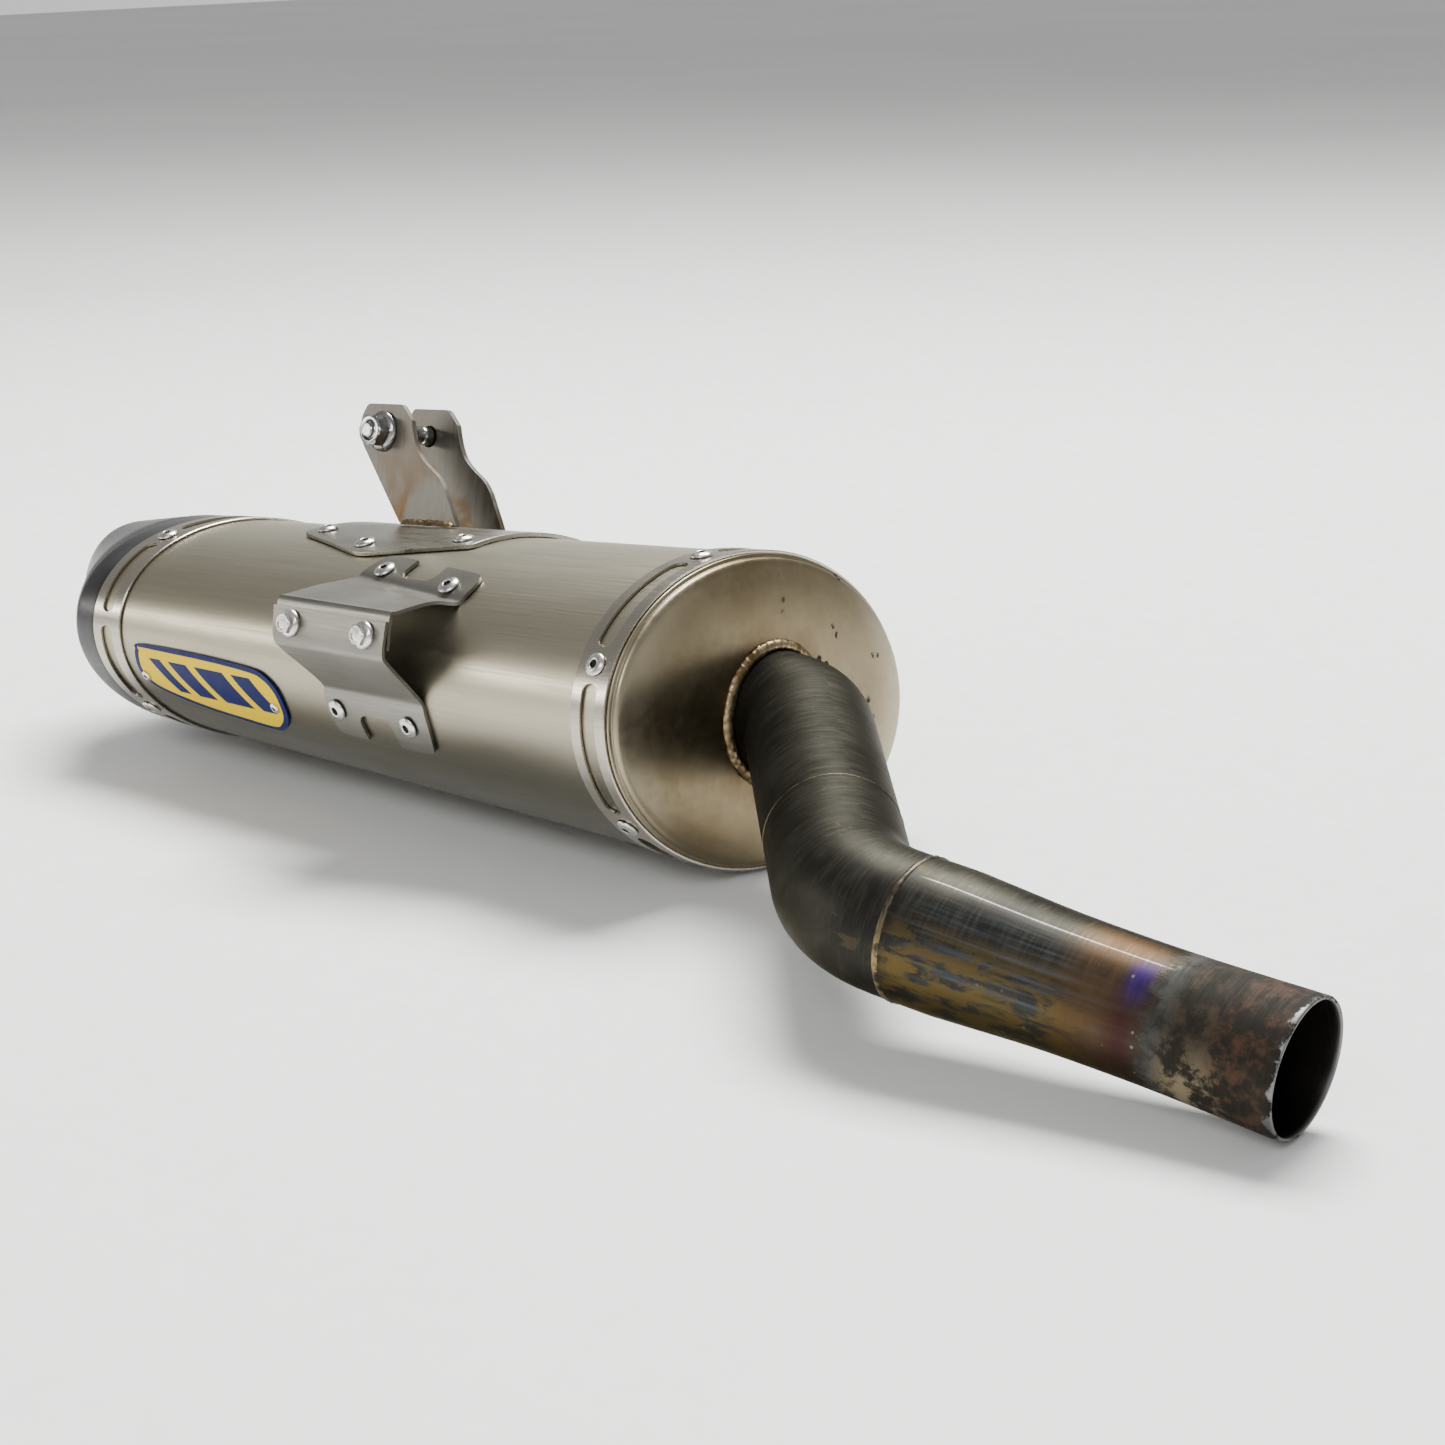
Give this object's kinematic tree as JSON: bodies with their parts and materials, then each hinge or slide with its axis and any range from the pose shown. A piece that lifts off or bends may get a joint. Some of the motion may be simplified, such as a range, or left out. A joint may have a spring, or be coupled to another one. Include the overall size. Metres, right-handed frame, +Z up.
{
  "type": "exhaust muffler",
  "caption": "Slip-on motorcycle muffler: tapered oval can with riveted bands, black slanted tail cone, S-bend inlet pipe, clevis hanger and side bracket.",
  "frame": {"origin": "centre of the footprint on the floor that the muffler lies on, at floor level", "axes": "+X along the can towards the inlet pipe (the can is raised 2.2 degrees at its front end), -Y the side with the name plate and the side bracket, +Z up, with the clevis on top"},
  "size_m": [0.73, 0.2274, 0.1655],
  "materials": {
    "sleeve": "brushed along the can, warm grey titanium tone",
    "cap": "rolled sheet, straw-coloured heat tint round the pipe",
    "band": "smooth satin, slightly brighter than the sleeve",
    "tail": "satin black coated cap",
    "pipe": "heat-blackened steel with bronze and blue tints",
    "weld": "rippled weld bead, brown heat tint",
    "bracket": "satin stainless sheet",
    "zinc": "dark zinc plating",
    "rivet": "bright blind rivet",
    "plate": "printed yellow field with a dark blue border",
    "inner": "plain mill-finish sheet",
    "packing": "loose glass wool"
  },
  "bodies": {
    "muffler": {"sleeve": "sleeve", "inlet_cap": "cap", "front_band": "band", "rear_band": "band", "tail_cap": "tail", "tail_spout": "inner", "tail_plate": "tail", "rear_bulkhead": "inner", "core_tube": "inner", "packing": "packing", "pipe_elbow": "pipe", "pipe_second_bend": "pipe", "pipe_straight": "pipe", "pipe_slip_end": "pipe", "saddle_plate": "bracket", "clevis_ear_near": "bracket", "clevis_ear_far": "bracket", "side_bracket_front": "bracket", "side_bracket_top": "bracket", "bracket_bolt_0": "zinc", "bracket_bolt_1": "zinc", "bracket_nut_0": "zinc", "bracket_nut_1": "zinc", "pipe_weld": "weld", "clevis_weld_near": "weld", "clevis_weld_far": "weld", "name_plate": "plate", "plate_rivet_0": "rivet", "plate_rivet_1": "rivet", "saddle_rivet_0": "rivet", "saddle_rivet_1": "rivet", "saddle_rivet_2": "rivet", "saddle_rivet_3": "rivet", "saddle_rivet_4": "rivet", "saddle_rivet_5": "rivet", "bracket_rivet_0": "rivet", "bracket_rivet_1": "rivet", "bracket_rivet_2": "rivet", "bracket_rivet_3": "rivet", "front_rivet_0": "rivet", "front_rivet_1": "rivet", "front_rivet_2": "rivet", "front_rivet_3": "rivet", "front_rivet_4": "rivet", "front_rivet_5": "rivet", "rear_rivet_0": "rivet", "rear_rivet_1": "rivet", "rear_rivet_2": "rivet", "rear_rivet_3": "rivet"},
    "bolt": {"clevis_bolt": "zinc"},
    "nut": {"clevis_nut": "zinc"}
  },
  "joints": [
    {"name": "clevis_bolt_spin", "type": "hinge", "parent": "muffler", "child": "bolt", "pos_m": [-0.18511, 0.04744, 0.14966], "axis": [0.0085, 0.975, -0.2222], "continuous": true},
    {"name": "clevis_nut_spin", "type": "hinge", "parent": "bolt", "child": "nut", "pos_m": [-0.18511, 0.04744, 0.14966], "axis": [0.0085, 0.975, -0.2222], "continuous": true}
  ]
}
